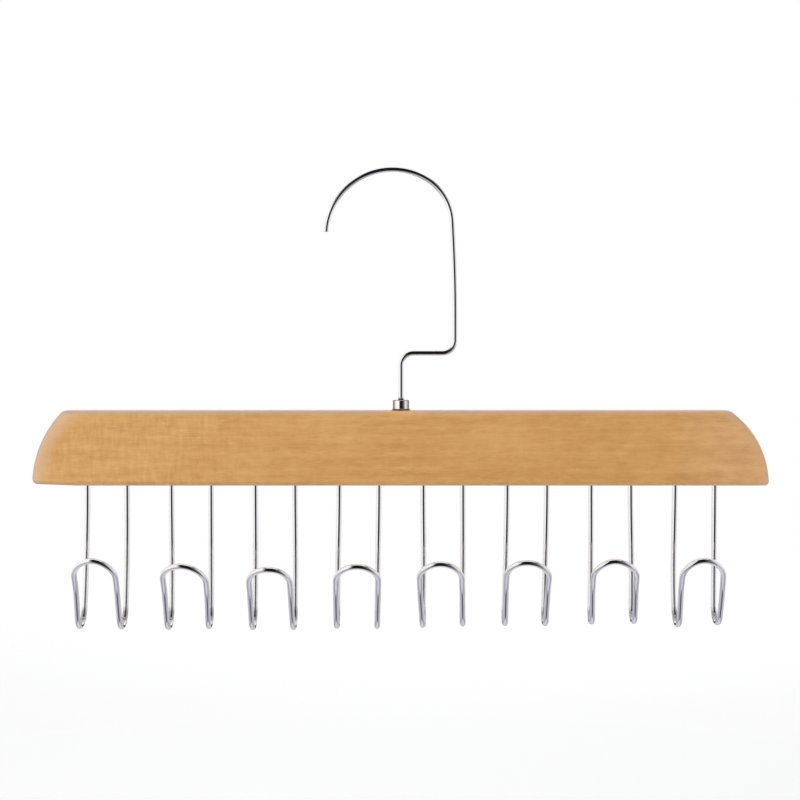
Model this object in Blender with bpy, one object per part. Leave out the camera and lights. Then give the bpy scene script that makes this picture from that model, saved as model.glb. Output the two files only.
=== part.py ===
"""A wooden bar hanger with a swivelling wire hook on top and a row of wire hooks under the bar.

Metres, +Z up, +X along the bar, -Y to the front, where the wire hooks open. The origin is the rail
seat: the point on the inside of the top hook's crown that lies straight above the stem, where the
balanced hanger rests on a rail.
"""

import math

import bmesh
import bpy

# Wooden bar
BAR_LENGTH = 0.370
BAR_HEIGHT = 0.0373
BAR_THICKNESS = 0.0145
EDGE_RADIUS = 0.0027
FACE_TOP_CORNER_RADIUS = 0.0019
FACE_LOW_CORNER_RADIUS = 0.0003
END_RADIUS_OVER_HEIGHT = 0.0131

# Ferrule, pressed into the top of the bar
FERRULE_HEIGHT = 0.0058
FERRULE_ROUNDING = 0.0006
LIP_THICKNESS = 0.0012
HEAD_CLEARANCE = 0.0004
SLEEVE_WALL = 0.0008
SLEEVE_DEPTH = 0.0120
SLEEVE_STEP = 0.0006
FLANGE_WIDTH = 0.0002
FLANGE_THICKNESS = 0.0005

# Top hook, one wire
HOOK_WIRE_RADIUS = 0.0014
HEAD_OVERHANG = 0.0011
HEAD_THICKNESS = 0.0012
HEAD_SHOULDER = 0.0004
STEM_LENGTH = 0.0174
CRANK_OFFSET = 0.0268
CRANK_BEND_RADIUS = 0.0063
UPRIGHT_LENGTH = 0.0583
UPRIGHT_LEAN = math.radians(1.4)
CROWN_RADIUS = 0.0270
CROWN_TIP_RADIUS = 0.0333
CROWN_JOIN_ANGLE = math.radians(61.6)
CROWN_TIP_ANGLE = math.radians(176)
TIP_CHAMFER = 0.0003

# Wire hooks under the bar, each one wire with two legs
HOOK_COUNT = 8
END_LEG_INSET = 0.02695
LEG_SPACING = 0.0200
LEG_WIRE_RADIUS = 0.0014
LEG_IN_BAR = 0.0180
LEG_DROP = 0.0622
U_BEND_RADIUS = 0.0084
PRONG_LEAN = math.radians(25)
PRONG_LENGTH = 0.0194
KINK_RADIUS = 0.0060
ARCH_LEAN = math.radians(38)
ARCH_STRAIGHT = 0.0052

# Shared by all pieces
FIT_GAP = 0.0003
CUT_OVERRUN = 0.0020

# Sizes that follow from those above
TOP_CORNER_RADIUS = EDGE_RADIUS + FACE_TOP_CORNER_RADIUS
LOW_CORNER_RADIUS = EDGE_RADIUS + FACE_LOW_CORNER_RADIUS
END_RADIUS = BAR_HEIGHT + END_RADIUS_OVER_HEIGHT
HEAD_RADIUS = HOOK_WIRE_RADIUS + HEAD_OVERHANG
HEAD_CHAMBER_RADIUS = HEAD_RADIUS + HEAD_CLEARANCE
SLEEVE_RADIUS = HEAD_CHAMBER_RADIUS + SLEEVE_WALL
FERRULE_RADIUS = SLEEVE_RADIUS + SLEEVE_STEP
FLANGE_RADIUS = FERRULE_RADIUS + FLANGE_WIDTH
CRANK_HEIGHT = FERRULE_HEIGHT + STEM_LENGTH + CRANK_BEND_RADIUS
HOOK_PITCH = (BAR_LENGTH - 2 * END_LEG_INSET - LEG_SPACING) / (HOOK_COUNT - 1)

# Facets
EDGE_STEPS = 3
CORNER_STEPS = 4
END_STEPS = 10
HOLE_SIDES = 16
FERRULE_SIDES = 24
BEND_STEP = math.radians(15)
CROWN_STEP = math.radians(9)
WIRE_BEVEL_RESOLUTION = 2
HOOK_BEVEL_RESOLUTION = 3
SMOOTH_ANGLE = math.radians(40)

# Colours
WOOD_COLOUR = (0.604, 0.328, 0.117, 1.0)
CHROME_COLOUR = (0.78, 0.78, 0.80, 1.0)
NICKEL_COLOUR = (0.74, 0.72, 0.69, 1.0)

QUARTER_TURN = math.pi / 2


def arc(centre, radius, start, end, step):
    """Points of an arc in a plane, from the start angle to the end angle, both ends included."""
    steps = max(1, math.ceil(abs(end - start) / step))
    angles = [start + (end - start) * i / steps for i in range(steps + 1)]
    return [(centre[0] + radius * math.cos(a), centre[1] + radius * math.sin(a)) for a in angles]


def along(point, angle, distance):
    """The point at a distance from another, in a direction given by its angle."""
    return (point[0] + distance * math.cos(angle), point[1] + distance * math.sin(angle))


def material(name, colour, roughness, metallic):
    made = bpy.data.materials.new(name)
    made.use_nodes = True
    shader = made.node_tree.nodes["Principled BSDF"]
    shader.inputs["Base Color"].default_value = colour
    shader.inputs["Roughness"].default_value = roughness
    shader.inputs["Metallic"].default_value = metallic
    return made


def place(name, data, location, look, parent=None):
    """One named object, placed at its own origin, under its parent if it has one."""
    made = bpy.data.objects.new(name, data)
    made.location = location
    made.parent = parent
    if look:
        data.materials.clear()
        data.materials.append(look)
    bpy.context.scene.collection.objects.link(made)
    return made


def mesh_from(name, bm):
    """Turns a bmesh into a mesh with its faces pointing out, smooth but for its real edges."""
    bmesh.ops.recalc_face_normals(bm, faces=bm.faces)
    mesh = bpy.data.meshes.new(name)
    bm.to_mesh(mesh)
    bm.free()
    mesh.shade_smooth()
    mesh.set_sharp_from_angle(angle=SMOOTH_ANGLE)
    return mesh


def wire_curve(name, points, radius, resolution, scales=None):
    """A round wire along the points, closed at both ends. Scales change the radius at a point."""
    curve = bpy.data.curves.new(name, "CURVE")
    curve.dimensions = "3D"
    curve.bevel_depth = radius
    curve.bevel_resolution = resolution
    curve.use_fill_caps = True
    spline = curve.splines.new("POLY")
    spline.points.add(len(points) - 1)
    for i, point in enumerate(points):
        spline.points[i].co = (*point, 1)
        spline.points[i].radius = (scales or {}).get(i, 1)
    return curve


# Wooden bar, drawn from its top, which is its z = 0


def bar_outline(inset):
    """The bar's outline in X and Z, seen from the front and drawn in by the inset all round."""
    end_centre = (BAR_LENGTH / 2 - END_RADIUS, -BAR_HEIGHT)
    top_reach = END_RADIUS - TOP_CORNER_RADIUS
    top_turn = math.asin((BAR_HEIGHT - TOP_CORNER_RADIUS) / top_reach)
    low_reach = END_RADIUS - LOW_CORNER_RADIUS
    low_turn = math.asin(LOW_CORNER_RADIUS / low_reach)
    low_centre = along(end_centre, low_turn, low_reach)
    top_centre = along(end_centre, top_turn, top_reach)
    corner_step = QUARTER_TURN / CORNER_STEPS
    end_step = (top_turn - low_turn) / END_STEPS
    right = arc(low_centre, LOW_CORNER_RADIUS - inset, -QUARTER_TURN, low_turn, corner_step)
    right += arc(end_centre, END_RADIUS - inset, low_turn, top_turn, end_step)[1:-1]
    right += arc(top_centre, TOP_CORNER_RADIUS - inset, top_turn, QUARTER_TURN, corner_step)
    left = [(-x, z) for x, z in reversed(right)]
    return right + left


def bar_mesh():
    """The outline lofted through the thickness, with its front and back edges rounded."""
    bm = bmesh.new()
    turns = [QUARTER_TURN * i / EDGE_STEPS for i in range(EDGE_STEPS + 1)]
    half = BAR_THICKNESS / 2
    sections = [
        (EDGE_RADIUS * (1 - math.sin(turn)), EDGE_RADIUS * (1 - math.cos(turn)) - half)
        for turn in turns
    ]
    sections += [(inset, -y) for inset, y in reversed(sections)]
    rings = []
    for inset, y in sections:
        rings.append([bm.verts.new((x, y, z)) for x, z in bar_outline(inset)])
    for near, far in zip(rings, rings[1:]):
        for i in range(len(near)):
            bm.faces.new((near[i - 1], near[i], far[i], far[i - 1]))
    bm.faces.new(rings[0])
    bm.faces.new(rings[-1])
    return mesh_from("wood_bar", bm)


def add_cylinder(bm, x, low, high, radius, sides):
    """A closed upright cylinder at a place along the bar."""
    rings = []
    for z in (low, high):
        made = bmesh.ops.create_circle(bm, cap_ends=True, radius=radius, segments=sides)
        bmesh.ops.translate(bm, verts=made["verts"], vec=(x, 0, z))
        rings.append(made["verts"])
    edges = [edge for ring in rings for vert in ring for edge in vert.link_edges]
    bmesh.ops.bridge_loops(bm, edges=list(dict.fromkeys(edges)))


def hook_places():
    """The X of each wire hook's middle."""
    middle = (HOOK_COUNT - 1) / 2
    return [(i - middle) * HOOK_PITCH for i in range(HOOK_COUNT)]


def leg_places():
    """The X of every leg, from the left end of the bar to the right."""
    places = []
    for x in hook_places():
        places += [x - LEG_SPACING / 2, x + LEG_SPACING / 2]
    return places


def bore_cutter_mesh():
    """What is drilled out of the bar: the ferrule's bore in the top and a blind hole per leg."""
    bm = bmesh.new()
    bore_floor = -SLEEVE_DEPTH - FIT_GAP
    add_cylinder(bm, 0, bore_floor, CUT_OVERRUN, SLEEVE_RADIUS + FIT_GAP, FERRULE_SIDES)
    hole_low = -BAR_HEIGHT - CUT_OVERRUN
    hole_high = LEG_IN_BAR + FIT_GAP - BAR_HEIGHT
    for x in leg_places():
        add_cylinder(bm, x, hole_low, hole_high, LEG_WIRE_RADIUS + FIT_GAP, HOLE_SIDES)
    return mesh_from("bores", bm)


def make_bar(parent, look):
    bar = place("wood_bar", bar_mesh(), (0, 0, 0), look, parent)
    cutter = place("bores", bore_cutter_mesh(), (0, 0, 0), None, parent)
    cutter.hide_render = True
    cutter.display_type = "WIRE"
    cut = bar.modifiers.new("bores", "BOOLEAN")
    cut.operation = "DIFFERENCE"
    cut.solver = "EXACT"
    cut.object = cutter


# Ferrule, drawn from the bar's top too


def make_ferrule(parent, look):
    """A turned collar: flange on the wood, sleeve in the bore, lip round the hook's stem."""
    seat = FIT_GAP
    top = FERRULE_HEIGHT
    lip_radius = HOOK_WIRE_RADIUS + FIT_GAP
    lip_underside = top - LIP_THICKNESS
    rim_centre = (FERRULE_RADIUS - FERRULE_ROUNDING, top - FERRULE_ROUNDING)
    rim_step = QUARTER_TURN / EDGE_STEPS
    profile = [(HEAD_CHAMBER_RADIUS, -SLEEVE_DEPTH), (HEAD_CHAMBER_RADIUS, lip_underside)]
    profile += [(lip_radius, lip_underside), (lip_radius, top)]
    profile += arc(rim_centre, FERRULE_ROUNDING, QUARTER_TURN, 0, rim_step)
    profile += [(FERRULE_RADIUS, seat + FLANGE_THICKNESS), (FLANGE_RADIUS, seat + FLANGE_THICKNESS)]
    profile += [(FLANGE_RADIUS, seat), (SLEEVE_RADIUS, seat), (SLEEVE_RADIUS, -SLEEVE_DEPTH)]
    bm = bmesh.new()
    verts = [bm.verts.new((radius, 0, z)) for radius, z in profile]
    edges = [bm.edges.new((verts[i - 1], verts[i])) for i in range(len(verts))]
    bmesh.ops.spin(
        bm,
        geom=verts + edges,
        cent=(0, 0, 0),
        axis=(0, 0, 1),
        angle=2 * math.pi,
        steps=FERRULE_SIDES,
        use_merge=True,
    )
    place("ferrule", mesh_from("ferrule", bm), (0, 0, 0), look, parent)


# Top hook, drawn from the bar's top in X and Z


def crown_centres():
    """The centres of the crown's two arcs: the one over the upright and the one to the tip."""
    foot = (CRANK_OFFSET, CRANK_HEIGHT + CRANK_BEND_RADIUS * (1 + math.sin(UPRIGHT_LEAN)))
    upright_top = along(foot, QUARTER_TURN + UPRIGHT_LEAN, UPRIGHT_LENGTH)
    near = along(upright_top, UPRIGHT_LEAN, -CROWN_RADIUS)
    far = along(near, CROWN_JOIN_ANGLE, CROWN_RADIUS - CROWN_TIP_RADIUS)
    return foot, near, far


def rail_seat_height():
    """The height of the inside of the crown over the bar's top, straight above the stem."""
    x, z = crown_centres()[2]
    return z + math.sqrt((CROWN_TIP_RADIUS - HOOK_WIRE_RADIUS) ** 2 - x**2)


def make_swivel_hook(height, look):
    """One wire: head in the ferrule, stem, crank, upright, crown and cut tip."""
    foot, near, far = crown_centres()
    head_top = FERRULE_HEIGHT - LIP_THICKNESS - FIT_GAP
    first_bend = (CRANK_BEND_RADIUS, CRANK_HEIGHT - CRANK_BEND_RADIUS)
    second_bend = along(foot, UPRIGHT_LEAN, -CRANK_BEND_RADIUS)
    path = [(0, head_top - HEAD_THICKNESS), (0, head_top), (0, head_top + HEAD_SHOULDER)]
    path += arc(first_bend, CRANK_BEND_RADIUS, math.pi, QUARTER_TURN, BEND_STEP)
    path += arc(second_bend, CRANK_BEND_RADIUS, -QUARTER_TURN, UPRIGHT_LEAN, BEND_STEP)
    path += arc(near, CROWN_RADIUS, UPRIGHT_LEAN, CROWN_JOIN_ANGLE, CROWN_STEP)
    path += arc(far, CROWN_TIP_RADIUS, CROWN_JOIN_ANGLE, CROWN_TIP_ANGLE, CROWN_STEP)[1:]
    path.append(along(path[-1], CROWN_TIP_ANGLE + QUARTER_TURN, TIP_CHAMFER))
    points = [(x, 0, z) for x, z in path]
    head_scale = HEAD_RADIUS / HOOK_WIRE_RADIUS
    tip_scale = 1 - TIP_CHAMFER / HOOK_WIRE_RADIUS
    scales = {0: head_scale, 1: head_scale, len(points) - 1: tip_scale}
    curve = wire_curve("swivel_hook", points, HOOK_WIRE_RADIUS, HOOK_BEVEL_RESOLUTION, scales)
    place("swivel_hook", curve, (0, 0, height), look)


# Wire hooks, drawn from the bar's underside


def prong_path():
    """The side view of one leg, in distance to the front and height: leg, U-bend, prong, kink."""
    u_bend = arc((U_BEND_RADIUS, -LEG_DROP), U_BEND_RADIUS, -math.pi, -PRONG_LEAN, BEND_STEP)
    prong_angle = QUARTER_TURN - PRONG_LEAN
    arch_angle = QUARTER_TURN - ARCH_LEAN
    kink_start = along(u_bend[-1], prong_angle, PRONG_LENGTH)
    kink_centre = along(kink_start, prong_angle - QUARTER_TURN, KINK_RADIUS)
    start = prong_angle + QUARTER_TURN
    kink = arc(kink_centre, KINK_RADIUS, start, arch_angle + QUARTER_TURN, BEND_STEP)
    arch_foot = along(kink[-1], arch_angle, ARCH_STRAIGHT)
    return [(0, LEG_IN_BAR)] + u_bend + kink + [arch_foot]


def wire_hook_points():
    """The whole wire: up one prong, over the arch and down the other side."""
    half = LEG_SPACING / 2
    side = prong_path()
    front, height = side[-1]
    left = [(-half, -y, z) for y, z in side]
    arch = []
    for x, rise in arc((0, 0), half, math.pi, 0, BEND_STEP)[1:-1]:
        arch.append((x, -front - rise * math.sin(ARCH_LEAN), height + rise * math.cos(ARCH_LEAN)))
    right = [(half, -y, z) for y, z in reversed(side)]
    return left + arch + right


def make_wire_hooks(parent, look):
    points = wire_hook_points()
    curve = wire_curve("wire_hook", points, LEG_WIRE_RADIUS, WIRE_BEVEL_RESOLUTION)
    for number, x in enumerate(hook_places(), start=1):
        place(f"wire_hook_{number}", curve, (x, 0, -BAR_HEIGHT), look, parent)


def main():
    for old in list(bpy.data.objects):
        bpy.data.objects.remove(old)
    wood = material("bar_wood", WOOD_COLOUR, 0.35, 0.0)
    chrome = material("hook_chrome", CHROME_COLOUR, 0.12, 1.0)
    wire_chrome = material("wire_chrome", CHROME_COLOUR, 0.15, 1.0)
    nickel = material("ferrule_nickel", NICKEL_COLOUR, 0.2, 1.0)
    bar_top = -rail_seat_height()
    hanger = place("hanger_body", None, (0, 0, bar_top), None)
    make_bar(hanger, wood)
    make_ferrule(hanger, nickel)
    make_wire_hooks(hanger, wire_chrome)
    make_swivel_hook(bar_top, chrome)


main()
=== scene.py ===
import functools
import math
from collections import namedtuple

import bmesh
import bpy
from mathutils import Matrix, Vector


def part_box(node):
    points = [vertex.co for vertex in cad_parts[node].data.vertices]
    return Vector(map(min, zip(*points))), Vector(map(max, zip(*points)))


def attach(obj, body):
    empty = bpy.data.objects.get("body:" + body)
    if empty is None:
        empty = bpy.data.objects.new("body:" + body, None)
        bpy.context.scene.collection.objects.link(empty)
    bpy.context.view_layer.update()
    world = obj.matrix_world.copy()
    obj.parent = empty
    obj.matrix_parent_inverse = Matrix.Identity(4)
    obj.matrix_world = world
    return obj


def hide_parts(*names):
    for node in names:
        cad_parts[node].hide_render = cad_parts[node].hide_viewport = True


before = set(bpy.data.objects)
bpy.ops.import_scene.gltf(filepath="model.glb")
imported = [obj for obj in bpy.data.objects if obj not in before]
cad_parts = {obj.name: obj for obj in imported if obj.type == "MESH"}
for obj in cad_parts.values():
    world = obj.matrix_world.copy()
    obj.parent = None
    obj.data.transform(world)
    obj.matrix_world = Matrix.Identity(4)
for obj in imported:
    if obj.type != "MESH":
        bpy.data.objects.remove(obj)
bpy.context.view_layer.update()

QUARTER_TURN = math.pi / 2
SHARP_ANGLE = math.radians(40)

# All sizes are in metres. The origin is the rail seat, on the inside of the top hook's crown. Most
# sizes are the CAD's. The others follow the one hanger in the photograph, inside the CAD's box.

# The bar. Its finished top lies a little above the CAD's. A loop just past each rounded edge keeps
# the flat faces flat under smooth shading.
BAR_LOW, BAR_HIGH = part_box("wood_bar")
BAR_TOP = BAR_HIGH.z
UNDERSIDE = BAR_LOW.z
BAR_HALF_THICKNESS = BAR_HIGH.y
BAR_RISE = 0.0003
BAR_HEIGHT = BAR_TOP - UNDERSIDE + BAR_RISE
EDGE_RADIUS = 0.0027
EDGE_STEPS = 8
FACE_HOLD = 0.0002

# Each end is given: how far it reaches, its big radius, the radii of its two corners and
# how much is taken off its faces at the rim.
End = namedtuple("End", "reach radius top_corner low_corner easing")
LEFT_END = End(0.18485, 0.0527, 0.0036, 0.0027, 0.0008)
RIGHT_END = End(0.18436, 0.0454, 0.0045, 0.0022, 0.0003)
LEAST_CORNER = 0.00015
LOW_CORNER_STEPS = 8
END_STEPS = 28
TOP_CORNER_STEPS = 6
EASING_WIDTH = 0.0110

# The cuts that give the easing its vertices: upright ones inwards from both ends, and level ones.
CUT_START = 0.1840
CUT_SPACING = 0.0016
CUT_COUNT = 20
LEVEL_COUNT = 16

# How the left end of the underside rises.
LOW_LEFT_RISE = 0.0008
LOW_LEFT_START = 0.163
LOW_LEFT_REACH = 0.012

# What is drilled out of the bar.
CUT_OVERRUN = 0.002
DRILL_CLEARANCE = 0.00012
HOLE_EASING = 0.00035
BORE_SIDES = 48
HOLE_SIDES = 32

# The ferrule, with heights over the CAD's bar. Its flange's edge lies on the finished wood and the
# flange's middle is sunk in it. Above the flange, its wall flares out.
FERRULE_RADIUS = 0.0041
FERRULE_HEIGHT = 0.0055
FERRULE_STEPS = 96
FLANGE_RADIUS = 0.0045
FLANGE_THICKNESS = 0.0005
FLANGE_LIFT = BAR_RISE
FLANGE_FOOT = 0.00002
FLARE_HEIGHT = 0.00045
SLEEVE_RADIUS = 0.0037
SLEEVE_DEPTH = 0.0120
CHAMBER_RADIUS = 0.0029
LIP_THICKNESS = 0.0012
LIP_RADIUS = 0.0017
RIM_ROUNDING = 0.0006
RIM_STEPS = 8
EDGE_BREAK = 0.00015
EDGE_BREAK_STEPS = 3

# Wires are a hair thinner than the CAD's, because its facets lie inside the true arcs.
PATH_SPACING = 0.002
BEND_STEP = math.radians(5)

# The top hook
HOOK_WIRE_RADIUS = 0.00138
HOOK_SIDES = 32
HEAD_RADIUS = 0.0025
HEAD_THICKNESS = 0.0012
HEAD_PLAY = 0.0003
HEAD_TAPER = 0.0004
CRANK_OFFSET = 0.0271
CRANK_BEND_RADIUS = 0.0063
CRANK_HEIGHT = 0.0292
UPRIGHT_LENGTH = 0.0583
UPRIGHT_LEAN = math.radians(1.4)
UPRIGHT_BOW = 0.0005
CROWN_RADIUS = 0.0270
CROWN_TIP_RADIUS = 0.0333
CROWN_JOIN_ANGLE = math.radians(61.6)
CROWN_TIP_ANGLE = math.radians(176)
CROWN_STEP = math.radians(2.5)
TIP_CHAMFER = 0.0003
TIP_CUT_SHARE = 0.6

# The wire hooks
HOOK_COUNT = 8
HOOK_PITCH = 0.0423
LEG_SPACING = 0.0200
LEG_WIRE_RADIUS = 0.00138
LEG_SIDES = 24
LEG_IN_BAR = 0.0175
LEG_DROP = 0.0622
U_BEND_RADIUS = 0.0084
PRONG_LEAN = math.radians(25)
PRONG_LENGTH = 0.0146
KINK_RADIUS = 0.0300
ARCH_LEAN = math.radians(36.2)
ARCH_STRAIGHT = 0.0052

# How the photograph's hooks are bent by hand and by use. At these lengths along the wire from the
# left leg's foot in the bar, each hook's first row moves it sideways and its second one up, in mm.
MILLIMETRE = 0.001
BEND_PLACES = (0.0518, 0.0736, 0.1019, 0.1185, 0.1264, 0.1342, 0.1509, 0.1792, 0.2009)
BENDS = (
    (-1.3, -2.3, -1.5, -1.2, -1.1, -1.0, -1.3, -1.4, -0.6),
    (0.3, 0.5, 0.8, 1.2, 1.2, 0.4, 0.3, 0.3, 0.2),
    (0.1, -0.3, -0.3, -0.3, 0.1, 0.5, 0.5, -0.1, -0.1),
    (0.1, 0.1, -0.2, -0.7, -1.4, -2.0, -0.7, 0.6, 0.5),
    (-0.1, -0.5, -0.7, -0.6, -0.7, -0.8, -0.7, -0.2, 0.1),
    (0.1, 0.1, -1.4, -2.4, -3.0, -2.7, -1.3, 0.1, 0.1),
    (-0.8, -0.9, -0.8, -0.4, -0.2, 0.1, -0.1, -0.8, -0.7),
    (0.5, 0.7, -0.3, -1.4, -1.5, -1.5, -0.4, 0.6, 0.5),
    (0.2, -0.2, -1.7, -2.2, -2.0, -1.8, -1.1, -0.3, 0.0),
    (0.7, 1.1, 0.5, -0.3, -0.3, -0.4, 0.8, 1.8, 1.2),
    (-0.9, -1.5, -1.9, -1.9, -1.6, -1.3, -1.4, -1.5, -0.9),
    (1.2, 2.0, 1.5, 0.8, 0.3, -0.1, 1.0, 1.9, 1.2),
    (0.0, -0.5, -1.7, -2.1, -2.1, -1.3, -0.5, 0.5, 0.7),
    (1.7, 2.8, 1.8, 0.6, 1.0, 0.5, 1.9, 3.0, 1.8),
    (-0.4, 0.2, -0.6, -1.2, -1.7, -1.5, -0.3, -0.1, -0.1),
    (0.7, 1.3, 1.0, 0.9, 1.4, 1.3, 1.8, 2.3, 1.3),
)

# Noises, each as its scale along X, Y and Z (per metre), detail, roughness and distortion. A low
# scale along X draws the wood's patterns out along the grain. The last three are the plate's.
STREAKS = ((10, 260, 260), 3.0, 0.55, 0.3)
MOTTLE = ((120, 260, 260), 3.0, 0.6, 0.4)
PATCHES = ((26, 70, 70), 2.0, 0.5, 0.5)
CURL = ((560, 120, 120), 1.0, 0.5, 0.6)
FIBRES = ((160, 2100, 2100), 2.0, 0.6, 0.0)
PORES = ((420, 2600, 2600), 1.0, 0.4, 0.0)
DASHES = ((75, 620, 620), 2.0, 0.5, 0.0)
CLOUD = ((220, 220, 220), 3.0, 0.5, 0.0)
DRAWN_LINES = ((46, 60, 1), 3.0, 0.6, 0.0)
RUBBED_SPOTS = ((900, 900, 900), 2.0, 0.5, 0.0)

# The range that a noise's values mostly keep to.
NOISE_LOW, NOISE_HIGH = 0.3, 0.7

# How far each noise swings the wood's tone to either side of its middle.
STREAK_SWING = 0.21
MOTTLE_SWING = 0.22
PATCH_SWING = 0.16
FIBRE_SWING = 0.16
CURL_SWING = 0.13
FAINT_CURL = 0.30
MIDDLE_TONE = 0.5

# From here on, a range is where a share starts and where it is full, and then, if it doesn't go
# from 0 to 1, what it goes from and to.

# The wood's colours: its middle tone, what deepens and pales it, and how the board's colour drifts
# from its left end (0) to its right one (1). Its paler, bluer right end is a painted sheen.
WOOD = (0.588, 0.314, 0.107)
DEEP_TINT = (0.86, 0.79, 0.68)
PALE_TINT = (1.12, 1.19, 1.34)
BOARD_RANGE = (-0.185, 0.185)
BOARD_TONES_AND_SHEEN = (
    (0.25, (1.0, 1.0, 0.96)), (0.35, (0.97, 0.95, 0.87)),
    (0.86, (0.95, 0.925, 0.82)), (0.94, (0.97, 1.0, 1.12)),
)
# The curl is strong on the bar's left, and faint elsewhere.
CURL_RANGE = (-0.055, -0.105)
# Small dark flecks: each one's noise, its range and its shade.
FLECKS = ((DASHES, (0.64, 0.74, 0.0, 0.30), 0.70), (PORES, (0.66, 0.78, 0.0, 0.25), 0.55))
# A painted highlight along the curved ends' rims: its width and strength, and where it is full.
RIM_HIGHLIGHT_COLOUR = (0.605, 0.385, 0.225)
LEFT_RIM_WIDTH, LEFT_RIM_STRENGTH = 0.0095, 0.85
RIGHT_RIM_WIDTH, RIGHT_RIM_STRENGTH = 0.0060, 0.30
RIM_FULL = 0.0015
RIM_RANGE_ACROSS = (0.004, 0.010)
# A painted grey reflection on the top's rounded edges, by the surface's own directions and by the
# place.
UPPER_EDGE_REFLECTION = (0.41, 0.278, 0.208)
UPWARD_RANGE = (0.15, 0.80)
SLOPE_RANGE = (0.10, 0.37, 0.1, 1.0)
RIGHTWARD_RANGE = (0.6, 1.0, 0.9, 0.40)
OFF_FERRULE_RANGE = (0.0065, 0.0110, 0.15, 1.0)
# The beads of lacquer and glue round the legs.
BEAD_COLOUR = (0.66, 0.44, 0.20)
BEAD_STRENGTH = 0.6
BEAD_RANGE_OUT = (0.0014, 0.0024, 1.0, 0.0)
BEAD_RANGE_UP = (UNDERSIDE + 0.0004, UNDERSIDE + 0.0013, 1.0, 0.0)
# The lacquer
LACQUER_ROUGHNESS = (0.34, 0.44)
COAT_WEIGHT = 0.5
COAT_ROUGHNESS = 0.32
# A bump's strength and height
WOOD_BUMP = (0.10, 0.00004)
PLATE_BUMP = (0.05, 0.00003)

# The plate
CHROME = (0.93, 0.93, 0.94)
NICKEL = (0.97, 0.95, 0.92)
NICKEL_EDGE_TINT = (0.45, 0.41, 0.38)
CLOUD_SHADE = 0.86
CLOUD_RANGE = (0.45, 0.75)
SPOT_RANGE = (0.62, 0.74, 0.0, 0.10)
BRIGHTEST, DULLEST = 0.7, 1.3
# Its painted shade, on the sides and at the feet of the ferrule and the stem. The sides' range is
# by how much the surface faces the front or the back.
SIDE_SHADE, SIDE_RANGE = (0.36, 0.31, 0.28), (0.80, 0.56)
FERRULE_FOOT_SHADE, FERRULE_FOOT_SHADE_RANGE = (0.13, 0.060, 0.03), (BAR_TOP + 0.0013, BAR_TOP + 0.0009)
STEM_FOOT_SHADE = (0.05, 0.035, 0.03)
STEM_FOOT_SHADE_RANGE = (BAR_TOP + (FERRULE_HEIGHT + 0.0015), BAR_TOP + (FERRULE_HEIGHT + 0.0004))
FOOT_SHADE_ROUGHNESS = 0.5
FOOT_SHADE_METALLIC = 0.4
# A painted dark reflection on the back half of every U-bend.
CROOK_REFLECTION = (0.33, 0.32, 0.34)
CROOK_TOP_RANGE = (UNDERSIDE - 0.0612, UNDERSIDE - 0.0642, 0.0, 0.85)
CROOK_FOOT_RANGE = (UNDERSIDE - 0.0695, UNDERSIDE - 0.0675)
CROOK_BACK_RANGE = (-0.0085, -0.0055)

# The studio
CAMERA_AIM = Vector((-0.0005, 0, -0.11416))
CAMERA_PITCH = math.radians(2)
CAMERA_DISTANCE = 0.8
LENS = 71.57
SENSOR_WIDTH = 36
FLOOR_HEIGHT = -0.42
FLOOR_HALF_SIZE = 3.0
FLOOR_SQUARES = 8
FLOOR_COLOUR = (0.55, 0.55, 0.55)
FLOOR_GLOW = 0.50
FLOOR_FADE_RANGE = (0.6, 1.3)
SOFT_LIGHT, SOFT_STRENGTH = (0.97, 0.98, 1.0), 0.45

# What the bright plate reflects: a round wall, a card for the floor, one for the ceiling, and a
# black flag near the crown. None of it shows in the picture itself.
ROOM_RADIUS = 1.5
WALL_LOW, WALL_HIGH = -1.61, 2.2
WALL_STEPS = 72
FLOOR_CARD_HEIGHT = -1.6
CEILING_CARD_HEIGHT = 2.19
CEILING_CARD_BACK = 0.3
FLAG_PLACE = (-0.145, -0.14, 0.115)
FLAG_RADIUS = 0.055
FLAG_SEGMENTS = 32
FLAG_COLOUR = (0.03, 0.028, 0.035)
WHITE = (1, 1, 1)
BLACK = (0.010, 0.010, 0.010)

# The wall's colours by the turn in degrees, from -Y in front towards +X. They spread out wider from
# the first height to the second. Behind, a dark band crosses the wall at the wire hooks' height,
# and the wall's foot is no paler than its own colour.
PALE, CREAM, LAVENDER = (0.94, 0.94, 0.96), (1.0, 0.985, 0.965), (0.82, 0.80, 0.85)
WALL_COLOURS = (
    (-180, PALE), (-130, PALE), (-85, CREAM), (-29, CREAM), (-23, (0.40, 0.38, 0.37)), (-16, BLACK),
    (16, BLACK), (30, (0.10, 0.10, 0.10)), (47, (0.23, 0.22, 0.23)), (62, LAVENDER), (90, LAVENDER),
    (110, PALE), (180, PALE),
)
WALL_SPREADING = (0.3, 1.7, 1.0, 0.58)
BAND_COLOUR = (0.05, 0.05, 0.05)
BAND_RANGE_ROUND = (math.radians(150), math.radians(166))
BAND_TOP_RANGE = (-0.22, -0.08, 1.0, 0.0)
BAND_FOOT_RANGE = (-0.70, -0.55)
WALL_FOOT_COLOUR = (0.53, 0.52, 0.56)
WALL_FOOT_RANGE = (-0.5, -0.95)

# The floor card's colours by the place from its back (0) to its front (1): a strip under the
# hanger, and what lies beside it.
FLOOR_STRIP = (
    (0.30, (0.66, 0.65, 0.71)), (0.45, (0.70, 0.69, 0.76)), (0.62, (0.60, 0.59, 0.66)),
    (0.75, (0.09, 0.088, 0.10)), (0.82, (0.09, 0.088, 0.10)), (0.90, BLACK),
)
FLOOR_SIDES = ((0.54, (0.31, 0.30, 0.34)), (0.65, (0.56, 0.55, 0.59)))
STRIP_CENTRE = (-0.8, -1.3, 0.0, 0.18)
STRIP_HALF_WIDTH = (-0.8, -1.3, 0.52, 0.32)
STRIP_EDGE_RANGE = (0.0, 0.38)

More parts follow.
